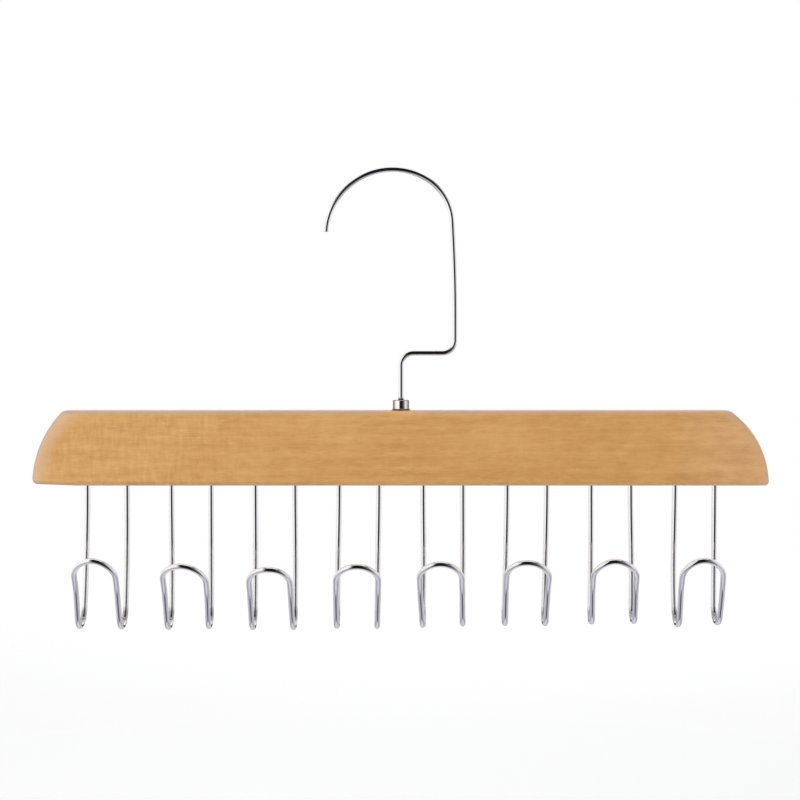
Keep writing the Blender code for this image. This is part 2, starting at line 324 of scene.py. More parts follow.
# The ceiling card's dark part: its half width at the hanger and how that grows towards the front.
CEILING_DARK = (0.015, 0.015, 0.015)
DARK_HALF_WIDTH, DARK_GROWTH = 0.36, -0.9
DARK_EDGE_RANGE = (0.75, 1.20)
CEILING_WHITE_RANGE = (-1.10, -0.60)

# Lamps: name, place, what the lamp points at, width and height, and power.
MIDDLE = (0, 0, -0.12)
LAMPS = (
    ("key_left", (-0.66, -0.80, 0.70), MIDDLE, (0.70, 0.80), 9.5),
    ("top", (-0.15, -0.12, 1.0), MIDDLE, (0.75, 0.30), 2.0),
    ("fill_right", (0.75, -1.1, 0.30), MIDDLE, (0.65, 1.4), 6.3),
    ("bounce", (0, -0.14, -0.41), (0, -0.02, -0.15), (0.90, 0.12), 0.85),
    ("back", (0.10, 1.3, -0.05), MIDDLE, (1.2, 0.8), 4.5),
)


# Plain geometry


def even_arc(centre, radius, start, end, steps):
    """Points of an arc in a plane, both ends included, with a set number of steps."""
    angles = [start + (end - start) * i / steps for i in range(steps + 1)]
    return [(centre[0] + radius * math.cos(a), centre[1] + radius * math.sin(a)) for a in angles]


def arc(centre, radius, start, end, step=BEND_STEP):
    """Points of an arc in a plane, both ends included, with steps no larger than one angle."""
    return even_arc(centre, radius, start, end, max(1, math.ceil(abs(end - start) / step)))


def along(point, angle, distance):
    """The point at a distance from another, in a direction given by its angle."""
    return (point[0] + distance * math.cos(angle), point[1] + distance * math.sin(angle))


def circle(radius, z, steps, x=0.0):
    """The points of a level circle round an upright axis at X."""
    turns = [2 * math.pi * k / steps for k in range(steps)]
    return [(x + radius * math.cos(t), radius * math.sin(t), z) for t in turns]


def even_path(points, spacing=PATH_SPACING):
    """The same path with its long straight runs cut into short ones."""
    path = [points[0]]
    for point in points[1:]:
        start = path[-1]
        run = point - start
        pieces = max(1, round(run.length / spacing))
        path += [start + run * (i / pieces) for i in range(1, pieces + 1)]
    return path


def sweep(bm, path, radii, sides):
    """A round wire along a path, closed at both ends, with its length and turn kept as UVs."""
    uv = bm.loops.layers.uv.new("wire")
    count = len(path)
    tangents = []
    for i in range(count):
        before = path[max(i - 1, 0)]
        after = path[min(i + 1, count - 1)]
        tangents.append((after - before).normalized())
    side = tangents[0].orthogonal().normalized()
    rings, lengths, length = [], [], 0.0
    for i, (point, tangent, radius) in enumerate(zip(path, tangents, radii)):
        side = (side - tangent * side.dot(tangent)).normalized()
        up = tangent.cross(side)
        if i:
            length += (point - path[i - 1]).length
        lengths.append(length)
        ring = []
        for k in range(sides):
            turn = 2 * math.pi * k / sides
            offset = side * math.cos(turn) + up * math.sin(turn)
            ring.append(bm.verts.new(point + offset * radius))
        rings.append(ring)
    for i in range(count - 1):
        near, far = rings[i], rings[i + 1]
        for k in range(sides):
            first, last = (k - 1, k) if k else (sides - 1, sides)
            face = bm.faces.new((near[k - 1], near[k], far[k], far[k - 1]))
            corners = (first, i), (last, i), (last, i + 1), (first, i + 1)
            for loop, (turn, ring) in zip(face.loops, corners):
                loop[uv].uv = (turn / sides, lengths[ring])
    bm.faces.new(list(reversed(rings[0])))
    bm.faces.new(rings[-1])


def lathe(bm, profile, steps):
    """Turns a closed profile of (radius, height) pairs round the Z axis."""
    rings = []
    for k in range(steps):
        turn = 2 * math.pi * k / steps
        cos, sin = math.cos(turn), math.sin(turn)
        rings.append([bm.verts.new((radius * cos, radius * sin, z)) for radius, z in profile])
    for k in range(steps):
        near, far = rings[k - 1], rings[k]
        for i in range(len(profile)):
            bm.faces.new((near[i - 1], near[i], far[i], far[i - 1]))


def add_object(name, bm):
    """Puts a bmesh into the scene as an object and frees it."""
    mesh = bpy.data.meshes.new(name)
    bm.to_mesh(mesh)
    bm.free()
    made = bpy.data.objects.new(name, mesh)
    bpy.context.scene.collection.objects.link(made)
    return made


def finish_piece(name, bm, look, body, node):
    """Makes a piece of the hanger from a bmesh: smooth but for its real edges."""
    bmesh.ops.recalc_face_normals(bm, faces=bm.faces)
    piece = add_object(name, bm)
    piece.data.shade_smooth()
    piece.data.set_sharp_from_angle(angle=SHARP_ANGLE)
    piece.data.materials.append(look.material)
    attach(piece, body)
    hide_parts(node)


# Materials


def tinted(colour, tint):
    return tuple(part * share for part, share in zip(colour, tint))


def shaded(colour, share):
    return tuple(share * part for part in colour)


# The sockets of a Mix node that carry colours: the first one, the second one and the result.
MIX_FIRST, MIX_SECOND, MIX_RESULT = 6, 7, 2


class Nodes:
    """Short calls to build a node tree."""

    def __init__(self, tree):
        self.tree = tree

    def add(self, kind):
        return self.tree.nodes.new(kind)

    def link(self, value, target):
        """Feeds a socket from another node's output, or sets it to a plain number or colour."""
        if isinstance(value, bpy.types.NodeSocket):
            self.tree.links.new(value, target)
        elif target.type == "RGBA":
            target.default_value = (*value, 1.0)
        else:
            target.default_value = value

    def axes(self, vector):
        """The vector's X, Y and Z."""
        node = self.add("ShaderNodeSeparateXYZ")
        self.link(vector, node.inputs[0])
        return node.outputs

    def noise(self, place, scale, detail, rough, distortion):
        stretch = self.add("ShaderNodeMapping")
        self.link(place, stretch.inputs["Vector"])
        stretch.inputs["Scale"].default_value = scale
        node = self.add("ShaderNodeTexNoise")
        self.link(stretch.outputs["Vector"], node.inputs["Vector"])
        node.inputs["Scale"].default_value = 1.0
        node.inputs["Detail"].default_value = detail
        node.inputs["Roughness"].default_value = rough
        node.inputs["Distortion"].default_value = distortion
        return node.outputs["Fac"]

    def ramp(self, value, stops):
        """Colours at their places from 0 to 1, and blends between them."""
        node = self.add("ShaderNodeValToRGB")
        self.link(value, node.inputs["Fac"])
        ramp = node.color_ramp
        while len(ramp.elements) < len(stops):
            ramp.elements.new(0.5)
        for element, (place, colour) in zip(ramp.elements, stops):
            element.position = place
            element.color = (*colour, 1.0)
        return node.outputs["Color"]

    def spread(self, value, low, high, to_low=0.0, to_high=1.0):
        """Maps a range of values onto another one, and holds what lies beyond at its ends."""
        node = self.add("ShaderNodeMapRange")
        self.link(value, node.inputs["Value"])
        node.inputs["From Min"].default_value = low
        node.inputs["From Max"].default_value = high
        node.inputs["To Min"].default_value = to_low
        node.inputs["To Max"].default_value = to_high
        return node.outputs["Result"]

    def swing(self, noise, amount):
        """A noise as a number from minus the amount to plus the amount."""
        return self.spread(noise, NOISE_LOW, NOISE_HIGH, -amount, amount)

    def maths(self, operation, *values):
        node = self.add("ShaderNodeMath")
        node.operation = operation
        for value, target in zip(values, node.inputs):
            self.link(value, target)
        return node.outputs["Value"]

    def total(self, *values):
        return functools.reduce(functools.partial(self.maths, "ADD"), values)

    def product(self, *values):
        return functools.reduce(functools.partial(self.maths, "MULTIPLY"), values)

    def mix(self, factor, first, second, blend="MIX"):
        node = self.add("ShaderNodeMix")
        node.data_type = "RGBA"
        node.blend_type = blend
        self.link(factor, node.inputs[0])
        self.link(first, node.inputs[MIX_FIRST])
        self.link(second, node.inputs[MIX_SECOND])
        return node.outputs[MIX_RESULT]

    def blend_shaders(self, factor, first, second):
        node = self.add("ShaderNodeMixShader")
        self.link(factor, node.inputs[0])
        self.link(first, node.inputs[1])
        self.link(second, node.inputs[2])
        return node.outputs[0]


class Look(Nodes):
    """A new material with its node tree."""

    def __init__(self, name):
        self.material = bpy.data.materials.new(name)
        self.material.use_nodes = True
        super().__init__(self.material.node_tree)
        self.shader = self.tree.nodes["Principled BSDF"]
        self.surface = self.tree.nodes["Material Output"].inputs["Surface"]
        coords = self.add("ShaderNodeTexCoord").outputs
        self.place, self.facing, self.wire = coords["Object"], coords["Normal"], coords["UV"]

    def bump(self, height, strength, distance):
        node = self.add("ShaderNodeBump")
        node.inputs["Strength"].default_value = strength
        node.inputs["Distance"].default_value = distance
        self.link(height, node.inputs["Height"])
        self.link(node.outputs["Normal"], self.shader.inputs["Normal"])

    def paint_over(self, share, colour):
        """Lays a colour over what the shader already shows, as much as the share says. It lays the
        painted shade, highlights and reflections, and the beads.
        """
        base = self.shader.inputs["Base Color"]
        self.link(self.mix(share, base.links[0].from_socket, colour), base)


def wood_look():
    """Light hardwood under semi-gloss lacquer: mottled and finely curled, its grain along X."""
    n = Look("bar_wood")
    axes = n.axes(n.place)
    streaks, mottle, fibres = (n.noise(n.place, *layer) for layer in (STREAKS, MOTTLE, FIBRES))
    left = n.spread(axes["X"], *CURL_RANGE)
    ripple = n.swing(n.noise(n.place, *CURL), CURL_SWING)
    tone = n.total(
        n.swing(streaks, STREAK_SWING), n.swing(mottle, MOTTLE_SWING),
        n.swing(n.noise(n.place, *PATCHES), PATCH_SWING), n.swing(fibres, FIBRE_SWING),
        n.product(ripple, n.total(left, FAINT_CURL)), MIDDLE_TONE,
    )
    deep, pale = tinted(WOOD, DEEP_TINT), tinted(WOOD, PALE_TINT)
    colour = n.ramp(tone, ((0.0, deep), (MIDDLE_TONE, WOOD), (1.0, pale)))
    for layer, reach, shade in FLECKS:
        fleck = n.spread(n.noise(n.place, *layer), *reach)
        colour = n.mix(fleck, colour, shaded(deep, shade))
    along_bar = n.spread(axes["X"], *BOARD_RANGE)
    # The board's tone drifts along it, and its paler, bluer right end is a painted sheen.
    colour = n.mix(1.0, colour, n.ramp(along_bar, BOARD_TONES_AND_SHEEN), "MULTIPLY")
    n.link(colour, n.shader.inputs["Base Color"])
    # A painted highlight along the bar's curved ends, strong on the left and faint on the right.
    left_rim_highlight = n.product(rim_highlight_share(n, axes, LEFT_END, -1, LEFT_RIM_WIDTH), LEFT_RIM_STRENGTH)
    right_rim_highlight = n.product(rim_highlight_share(n, axes, RIGHT_END, 1, RIGHT_RIM_WIDTH), RIGHT_RIM_STRENGTH)
    n.paint_over(n.maths("MAXIMUM", left_rim_highlight, right_rim_highlight), RIM_HIGHLIGHT_COLOUR)
    # A painted grey reflection on the top's rounded edges.
    n.paint_over(upper_edge_reflection_share(n, axes, along_bar), UPPER_EDGE_REFLECTION)
    n.paint_over(n.product(bead_share(n, axes), BEAD_STRENGTH), BEAD_COLOUR)
    haze = n.spread(mottle, NOISE_LOW, NOISE_HIGH, *LACQUER_ROUGHNESS)
    n.link(haze, n.shader.inputs["Roughness"])
    n.shader.inputs["Coat Weight"].default_value = COAT_WEIGHT
    n.shader.inputs["Coat Roughness"].default_value = COAT_ROUGHNESS
    n.bump(n.total(fibres, streaks), *WOOD_BUMP)
    return n


def upper_edge_reflection_share(n, axes, along_bar):
    """How much painted reflection a point gets on the top's rounded edges. It fades to the right
    and at the ferrule.
    """
    facing = n.axes(n.facing)
    upwards = n.spread(facing["Z"], *UPWARD_RANGE)
    sloping = n.spread(n.maths("ABSOLUTE", facing["Y"]), *SLOPE_RANGE)
    rightwards = n.spread(along_bar, *RIGHTWARD_RANGE)
    off_ferrule = n.spread(n.maths("ABSOLUTE", axes["X"]), *OFF_FERRULE_RANGE)
    return n.product(upwards, sloping, rightwards, off_ferrule)


def rim_highlight_share(n, axes, end, side, width):
    """How much painted highlight a point gets near the bar's curved end: 1 on its rim and 0 from a
    width inwards.
    """
    across = n.maths("SUBTRACT", n.product(axes["X"], side), end.reach - end.radius)
    up = n.maths("SUBTRACT", axes["Z"], UNDERSIDE)
    across, up = n.maths("MAXIMUM", across, 0.0), n.maths("MAXIMUM", up, 0.0)
    away = n.maths("SQRT", n.total(n.product(across, across), n.product(up, up)))
    share = n.spread(away, end.radius - width, end.radius - RIM_FULL)
    return n.product(share, n.spread(across, *RIM_RANGE_ACROSS))


def bead_share(n, axes):
    """1 on the dried drops of lacquer and glue round the wires' holes under the bar."""
    turns = n.maths("FRACT", n.maths("DIVIDE", axes["X"], HOOK_PITCH))
    off_middle = n.product(n.maths("ABSOLUTE", n.maths("SUBTRACT", turns, 0.5)), HOOK_PITCH)
    off_leg = n.maths("ABSOLUTE", n.maths("SUBTRACT", off_middle, LEG_SPACING / 2))
    return n.product(n.spread(off_leg, *BEAD_RANGE_OUT), n.spread(axes["Z"], *BEAD_RANGE_UP))


def plated_look(name, colour, roughness, cloudiness):
    """Bright plate on drawn metal: fine lines along it, faint cloudiness and small rubbed spots."""
    n = Look(name)
    cloud = n.noise(n.place, *CLOUD)
    clouds = n.spread(cloud, *CLOUD_RANGE, 0.0, cloudiness)
    n.link(n.mix(clouds, colour, shaded(colour, CLOUD_SHADE)), n.shader.inputs["Base Color"])
    haze = n.spread(cloud, NOISE_LOW, NOISE_HIGH, roughness * BRIGHTEST, roughness * DULLEST)
    spots = n.spread(n.noise(n.place, *RUBBED_SPOTS), *SPOT_RANGE)
    n.link(n.total(haze, spots), n.shader.inputs["Roughness"])
    n.shader.inputs["Metallic"].default_value = 1.0
    n.bump(n.noise(n.wire, *DRAWN_LINES), *PLATE_BUMP)
    return n


def lay_foot_shade(n, heights, colour):
    """Painted shade on a plated piece, dark and dull, rising from none at one height to full at the
    other.
    """
    foot_shade = n.spread(n.axes(n.place)["Z"], *heights)
    n.paint_over(foot_shade, colour)
    roughness = n.shader.inputs["Roughness"]
    haze = roughness.links[0].from_socket
    n.link(n.maths("MAXIMUM", haze, n.product(foot_shade, FOOT_SHADE_ROUGHNESS)), roughness)
    n.link(n.spread(foot_shade, 0.0, 1.0, 1.0, FOOT_SHADE_METALLIC), n.shader.inputs["Metallic"])


def shade_sides(n):
    """Painted shade: darker plate on the sides and the top, away from the front and the back."""
    n.paint_over(n.spread(n.maths("ABSOLUTE", n.axes(n.facing)["Y"]), *SIDE_RANGE), SIDE_SHADE)


def paint_crook_reflections(n):
    """A painted dark reflection on the back half of every U-bend."""
    axes = n.axes(n.place)
    above, below = n.spread(axes["Z"], *CROOK_TOP_RANGE), n.spread(axes["Z"], *CROOK_FOOT_RANGE)
    n.paint_over(n.product(above, below, n.spread(axes["Y"], *CROOK_BACK_RANGE)), CROOK_REFLECTION)


# The bar


def end_points(inset, end):
    """The outline of one end, from the underside up to the top, drawn in by the inset."""
    centre = (end.reach - end.radius, -BAR_HEIGHT)
    low_radius = max(end.low_corner - inset, LEAST_CORNER)
    low_reach = end.radius - inset - low_radius
    low_turn = math.asin((inset + low_radius) / low_reach)
    low_centre = along(centre, low_turn, low_reach)
    top_radius = max(end.top_corner - inset, LEAST_CORNER)
    top_reach = end.radius - inset - top_radius
    top_turn = math.asin((BAR_HEIGHT - inset - top_radius) / top_reach)
    top_centre = along(centre, top_turn, top_reach)
    points = even_arc(low_centre, low_radius, -QUARTER_TURN, low_turn, LOW_CORNER_STEPS)
    points += even_arc(centre, end.radius - inset, low_turn, top_turn, END_STEPS)[1:-1]
    return points + even_arc(top_centre, top_radius, top_turn, QUARTER_TURN, TOP_CORNER_STEPS)


def outline(inset):
    """The bar's outline in X and Z, from the front, drawn in by the inset all round."""
    left = [(-x, z) for x, z in reversed(end_points(inset, LEFT_END))]
    return end_points(inset, RIGHT_END) + left


def bar_sections():
    """Inset and depth of each loop of the bar, from the front face to the back one."""
    half = BAR_HALF_THICKNESS
    front = [(EDGE_RADIUS + FACE_HOLD, -half)]
    for i in range(EDGE_STEPS + 1):
        turn = QUARTER_TURN * i / EDGE_STEPS
        inset, depth = EDGE_RADIUS * (1 - math.sin(turn)), EDGE_RADIUS * (1 - math.cos(turn))
        front.append((inset, depth - half))
    front.append((0, front[-1][1] + FACE_HOLD))
    return front + [(inset, -y) for inset, y in reversed(front)]


def ease_ends(bm):
    """Lifts the left end of the underside, and takes a little off the faces at both ends."""

    def cut(place, normal):
        geom = bm.verts[:] + bm.edges[:] + bm.faces[:]
        bmesh.ops.bisect_plane(bm, geom=geom, plane_co=place, plane_no=normal)

    for side in (-1, 1):
        for i in range(CUT_COUNT):
            cut((side * (CUT_START - CUT_SPACING * i), 0, 0), (1, 0, 0))
    for i in range(1, LEVEL_COUNT):
        cut((0, 0, -BAR_HEIGHT * i / LEVEL_COUNT), (0, 0, 1))
    for vert in bm.verts:
        low = max(0.0, 1 - (vert.co.z + BAR_HEIGHT) / LOW_LEFT_REACH)
        out = max(0.0, (-vert.co.x - LOW_LEFT_START) / (LEFT_END.reach - LOW_LEFT_START))
        vert.co.z += LOW_LEFT_RISE * low * out
        end = LEFT_END if vert.co.x < 0 else RIGHT_END
        across, up = abs(vert.co.x) - (end.reach - end.radius), vert.co.z + BAR_HEIGHT
        if across > 0:
            share = max(0.0, 1 - (end.radius - math.hypot(across, up)) / EASING_WIDTH)
            vert.co.y *= 1 - end.easing * share ** 2 / BAR_HALF_THICKNESS


def drill(bm, x, profile, sides):
    """One closed turned solid whose profile starts and ends on its axis."""
    low = bm.verts.new((x, 0, profile[0][1]))
    high = bm.verts.new((x, 0, profile[-1][1]))
    rings = [[bm.verts.new(p) for p in circle(radius, z, sides, x)] for radius, z in profile[1:-1]]
    for k in range(sides):
        bm.faces.new((low, rings[0][k - 1], rings[0][k]))
        bm.faces.new((high, rings[-1][k], rings[-1][k - 1]))
        for near, far in zip(rings, rings[1:]):
            bm.faces.new((near[k - 1], near[k], far[k], far[k - 1]))


def hook_places():
    return [(i - (HOOK_COUNT - 1) / 2) * HOOK_PITCH for i in range(HOOK_COUNT)]


def leg_places():
    return [x + side * LEG_SPACING / 2 for x in hook_places() for side in (-1, 1)]


def bore_cutters():
    """What is drilled out of the bar: the ferrule's bore and a tight blind hole for every leg."""
    bm = bmesh.new()
    radius = SLEEVE_RADIUS + DRILL_CLEARANCE
    floor = -(SLEEVE_DEPTH + FLANGE_LIFT + BAR_RISE)
    bore = [(0, floor), (radius, floor), (radius, CUT_OVERRUN), (0, CUT_OVERRUN)]
    drill(bm, 0, bore, BORE_SIDES)
    radius = LEG_WIRE_RADIUS + DRILL_CLEARANCE
    mouth = radius + HOLE_EASING
    low, top = -BAR_HEIGHT, -BAR_HEIGHT + LEG_IN_BAR + DRILL_CLEARANCE
    hole = [(0, low - CUT_OVERRUN), (mouth + CUT_OVERRUN, low - CUT_OVERRUN), (mouth, low)]
    hole += [(radius, low + HOLE_EASING), (radius, top), (0, top)]
    for x in leg_places():
        drill(bm, x, hole, HOLE_SIDES)
    bmesh.ops.recalc_face_normals(bm, faces=bm.faces)
    return bm


def make_bar(look):
    bm = bmesh.new()
    rings = [[bm.verts.new((x, y, z)) for x, z in outline(inset)] for inset, y in bar_sections()]
    for near, far in zip(rings, rings[1:]):
        for i in range(len(near)):
            bm.faces.new((near[i - 1], near[i], far[i], far[i - 1]))
    bm.faces.new(rings[0])
    bm.faces.new(rings[-1])
    bmesh.ops.recalc_face_normals(bm, faces=bm.faces)
    ease_ends(bm)
    blank = add_object("bar_blank", bm)
    cutters = add_object("bar_bores", bore_cutters())
    cut = blank.modifiers.new("bores", "BOOLEAN")
    cut.operation = "DIFFERENCE"
    cut.solver = "EXACT"
    cut.object = cutters
    bpy.context.view_layer.update()
    drilled = bmesh.new()
    drilled.from_object(blank, bpy.context.evaluated_depsgraph_get())
    for made in (blank, cutters):
        mesh = made.data
        bpy.data.objects.remove(made)
        bpy.data.meshes.remove(mesh)
    bmesh.ops.translate(drilled, verts=drilled.verts, vec=(0, 0, BAR_TOP + BAR_RISE))
    finish_piece("bar", drilled, look, "hanger", "wood_bar")


# The ferrule


def make_ferrule(look):
    low, top = FLANGE_LIFT, FERRULE_HEIGHT
    lip_low = top - LIP_THICKNESS
    flange_top = low + FLANGE_THICKNESS
    small = EDGE_BREAK
    rim = (FERRULE_RADIUS - RIM_ROUNDING, top - RIM_ROUNDING)
    flange_edge = (FLANGE_RADIUS - small, flange_top - small)
    profile = [(CHAMBER_RADIUS, -SLEEVE_DEPTH), (CHAMBER_RADIUS, lip_low), (LIP_RADIUS, lip_low)]
    profile += [(LIP_RADIUS, top - small), (LIP_RADIUS + small, top)]
    profile += even_arc(rim, RIM_ROUNDING, QUARTER_TURN, 0, RIM_STEPS)
    profile += [(FERRULE_RADIUS, flange_top + FLARE_HEIGHT)]
    profile += even_arc(flange_edge, small, QUARTER_TURN, 0, EDGE_BREAK_STEPS)
    profile += [(FLANGE_RADIUS, low), (FLANGE_RADIUS - small, FLANGE_FOOT)]
    profile += [(SLEEVE_RADIUS, FLANGE_FOOT), (SLEEVE_RADIUS, -SLEEVE_DEPTH)]
    bm = bmesh.new()
    lathe(bm, profile, FERRULE_STEPS)
    bmesh.ops.translate(bm, verts=bm.verts, vec=(0, 0, BAR_TOP))
    finish_piece("collar", bm, look, "hanger", "ferrule")


# The top hook


def top_hook_path():
    """The wire's middle line over the bar's top, and the places of its head's two ends."""
    foot = (CRANK_OFFSET, CRANK_HEIGHT + CRANK_BEND_RADIUS * (1 + math.sin(UPRIGHT_LEAN)))
    upright_top = along(foot, QUARTER_TURN + UPRIGHT_LEAN, UPRIGHT_LENGTH)
    near = along(upright_top, UPRIGHT_LEAN, -CROWN_RADIUS)
    far = along(near, CROWN_JOIN_ANGLE, CROWN_RADIUS - CROWN_TIP_RADIUS)
    first_bend = (CRANK_BEND_RADIUS, CRANK_HEIGHT - CRANK_BEND_RADIUS)
    second_bend = along(foot, UPRIGHT_LEAN, -CRANK_BEND_RADIUS)
    head_top = FERRULE_HEIGHT - LIP_THICKNESS - HEAD_PLAY
    head = [(0, head_top - HEAD_THICKNESS), (0, head_top), (0, head_top + HEAD_TAPER)]
    path = [(0, head_top + 2 * HEAD_TAPER)]
    path += arc(first_bend, CRANK_BEND_RADIUS, math.pi, QUARTER_TURN)
    path += arc(second_bend, CRANK_BEND_RADIUS, -QUARTER_TURN, UPRIGHT_LEAN)
    path += arc(near, CROWN_RADIUS, UPRIGHT_LEAN, CROWN_JOIN_ANGLE, CROWN_STEP)
    path += arc(far, CROWN_TIP_RADIUS, CROWN_JOIN_ANGLE, CROWN_TIP_ANGLE, CROWN_STEP)[1:]
    path = even_path([Vector((x, 0, z)) for x, z in path])
    for point in path:
        share = (point.z - foot[1]) / (upright_top[1] - foot[1])
        if point.x > 0 and 0 < share < 1:
            point.x += UPRIGHT_BOW * math.sin(math.pi * share)
    onwards = CROWN_TIP_ANGLE + QUARTER_TURN
    tip = path[-1] + Vector((math.cos(onwards), 0, math.sin(onwards))) * TIP_CHAMFER
    return [Vector((x, 0, z)) for x, z in head] + path + [tip]


def make_top_hook(look):
    path = top_hook_path()
    radii = [HEAD_RADIUS] * 2 + [HOOK_WIRE_RADIUS] * (len(path) - 3)
    radii.append(HOOK_WIRE_RADIUS - TIP_CHAMFER * TIP_CUT_SHARE)
    bm = bmesh.new()
    sweep(bm, path, radii, HOOK_SIDES)
    bmesh.ops.translate(bm, verts=bm.verts, vec=(0, 0, BAR_TOP))
    finish_piece("top_hook", bm, look, "hook", "swivel_hook")


# The wire hooks


def prong_path():
    """The side view of one leg, in distance to the front and height: leg, U-bend, prong, kink."""
    u_bend = arc((U_BEND_RADIUS, -LEG_DROP), U_BEND_RADIUS, -math.pi, -PRONG_LEAN)
    prong_angle = QUARTER_TURN - PRONG_LEAN
    arch_angle = QUARTER_TURN - ARCH_LEAN
    kink_start = along(u_bend[-1], prong_angle, PRONG_LENGTH)
    kink_centre = along(kink_start, prong_angle - QUARTER_TURN, KINK_RADIUS)
    kink = arc(kink_centre, KINK_RADIUS, prong_angle + QUARTER_TURN, arch_angle + QUARTER_TURN)
    arch_foot = along(kink[-1], arch_angle, ARCH_STRAIGHT)
    return [(0, LEG_IN_BAR)] + u_bend + kink + [arch_foot]


def wire_hook_path():
    """One hook's middle line as the CAD has it, under the middle of its place on the bar."""
    half = LEG_SPACING / 2
    side = prong_path()
    front, height = side[-1]
    left = [Vector((-half, -y, z)) for y, z in side]
    arch = []
    for x, rise in arc((0, 0), half, math.pi, 0)[1:-1]:
        out, up = rise * math.sin(ARCH_LEAN), rise * math.cos(ARCH_LEAN)
        arch.append(Vector((x, -front - out, height + up)))
    right = [Vector((half, -y, z)) for y, z in reversed(side)]
    return even_path(left + arch + right)


def smooth_through(places, values, place):
    """A smooth curve's value at a place, through the values at the given places."""
    last = len(places) - 1
    if place <= places[0] or place >= places[last]:
        return 0.0
    i = max(k for k in range(last) if places[k] <= place)

    def slope(k):
        if k in (0, last):
            return 0.0
        before, after = places[k] - places[k - 1], places[k + 1] - places[k]
        fall = (values[k] - values[k - 1]) / before
        rise = (values[k + 1] - values[k]) / after
        return (fall * after + rise * before) / (before + after)

    run = places[i + 1] - places[i]
    t = (place - places[i]) / run
    ends = values[i] * (2 * t ** 3 - 3 * t ** 2 + 1) + values[i + 1] * (3 * t ** 2 - 2 * t ** 3)
    return ends + run * (slope(i) * (t ** 3 - 2 * t ** 2 + t) + slope(i + 1) * (t ** 3 - t ** 2))


def bent_path(path, sideways, up):
    """The wire's path with one hook's own small bends. What is in the bar stays straight."""
    lengths = [0.0]
    for before, after in zip(path, path[1:]):
        lengths.append(lengths[-1] + (after - before).length)
    places = (0.0, *BEND_PLACES, lengths[-1] - 2 * LEG_IN_BAR)
    moved = []
    for point, length in zip(path, lengths):
        shift = [
            MILLIMETRE * smooth_through(places, (0.0, *values, 0.0), length - LEG_IN_BAR)
            for values in (sideways, up)
        ]
        moved.append(point + Vector((shift[0], 0, shift[1])))
    return moved


def make_wire_hooks(look):
    path = wire_hook_path()
    radii = [LEG_WIRE_RADIUS] * len(path)
    hooks = zip(hook_places(), BENDS[::2], BENDS[1::2])
    for number, (x, sideways, up) in enumerate(hooks, start=1):
        bm = bmesh.new()
        sweep(bm, bent_path(path, sideways, up), radii, LEG_SIDES)
        bmesh.ops.translate(bm, verts=bm.verts, vec=(x, 0, UNDERSIDE))
        name, node = f"prong_hook_{number}", f"wire_hook_{number}"
        finish_piece(name, bm, look, "hanger", node)


# The studio


def make_camera():
    """Level with the hanger's middle, a little above it, straight in front."""
    back = Vector((0, -math.cos(CAMERA_PITCH), math.sin(CAMERA_PITCH)))
    data = bpy.data.cameras.new("camera")
    data.lens = LENS
    data.sensor_width = SENSOR_WIDTH
    camera = bpy.data.objects.new("camera", data)
    camera.location = CAMERA_AIM + back * CAMERA_DISTANCE
    camera.rotation_euler = (-back).to_track_quat("-Z", "Y").to_euler()
    bpy.context.scene.collection.objects.link(camera)
    bpy.context.scene.camera = camera


def make_lamp(name, place, aim, size, power):
    data = bpy.data.lights.new(name, "AREA")
    data.shape = "RECTANGLE"
    data.size, data.size_y = size
    data.energy = power
    lamp = bpy.data.objects.new(name, data)
    lamp.location = place
    lamp.rotation_euler = (Vector(aim) - Vector(place)).to_track_quat("-Z", "Y").to_euler()
    lamp.visible_glossy = False
    bpy.context.scene.collection.objects.link(lamp)


def make_world():
    """White to the camera, in reflections and through glass, and a soft light for the rest."""
    world = bpy.data.worlds.new("studio")
    bpy.context.scene.world = world
    world.use_nodes = True
    n = Nodes(world.node_tree)
    n.tree.nodes.clear()
    rays = n.add("ShaderNodeLightPath").outputs
    seen = n.maths("MAXIMUM", rays["Is Camera Ray"], rays["Is Glossy Ray"])
    seen = n.maths("MAXIMUM", seen, rays["Is Transmission Ray"])
    backgrounds = []
    for colour, strength in ((SOFT_LIGHT, SOFT_STRENGTH), (WHITE, 1.0)):
        node = n.add("ShaderNodeBackground")
        n.link(colour, node.inputs["Color"])
        n.link(strength, node.inputs["Strength"])
        backgrounds.append(node.outputs[0])
    out = n.add("ShaderNodeOutputWorld")
    n.link(n.blend_shaders(seen, *backgrounds), out.inputs["Surface"])


def make_floor():
    """A pale floor under the hanging object. It fades into the white surroundings far away."""
    bm = bmesh.new()
    bmesh.ops.create_grid(
        bm, x_segments=FLOOR_SQUARES, y_segments=FLOOR_SQUARES, size=FLOOR_HALF_SIZE,
    )
    floor = add_object("floor", bm)
    floor.location.z = FLOOR_HEIGHT
    n = Look("floor_paint")
    n.tree.nodes.remove(n.shader)
    paint = n.add("ShaderNodeBsdfDiffuse")
    n.link(FLOOR_COLOUR, paint.inputs["Color"])
    glow = n.add("ShaderNodeEmission")
    rays = n.add("ShaderNodeLightPath")
    n.link(n.product(rays.outputs["Is Camera Ray"], FLOOR_GLOW), glow.inputs["Strength"])
    lit = n.add("ShaderNodeAddShader")
    n.link(paint.outputs[0], lit.inputs[0])
    n.link(glow.outputs[0], lit.inputs[1])
    clear = n.add("ShaderNodeBsdfTransparent")
    reach = n.add("ShaderNodeVectorMath")
    reach.operation = "LENGTH"
    n.link(n.place, reach.inputs[0])
    fade = n.spread(reach.outputs["Value"], *FLOOR_FADE_RANGE)
    n.link(n.blend_shaders(fade, lit.outputs[0], clear.outputs[0]), n.surface)
    floor.data.materials.append(n.material)
    floor.visible_glossy = False


def show_in_reflections(panel, glow_of):
    """Gives a panel its own light, whose colour the function builds, for reflections alone."""
    n = Look(panel.name + "_paint")
    n.tree.nodes.remove(n.shader)
    glow = n.add("ShaderNodeEmission")
    n.link(glow_of(n, n.axes(n.place)), glow.inputs["Color"])
    n.link(glow.outputs[0], n.surface)
    panel.data.materials.append(n.material)
    panel.visible_camera = False
    panel.visible_diffuse = False
    panel.visible_transmission = False
    panel.visible_volume_scatter = False
    panel.visible_shadow = False


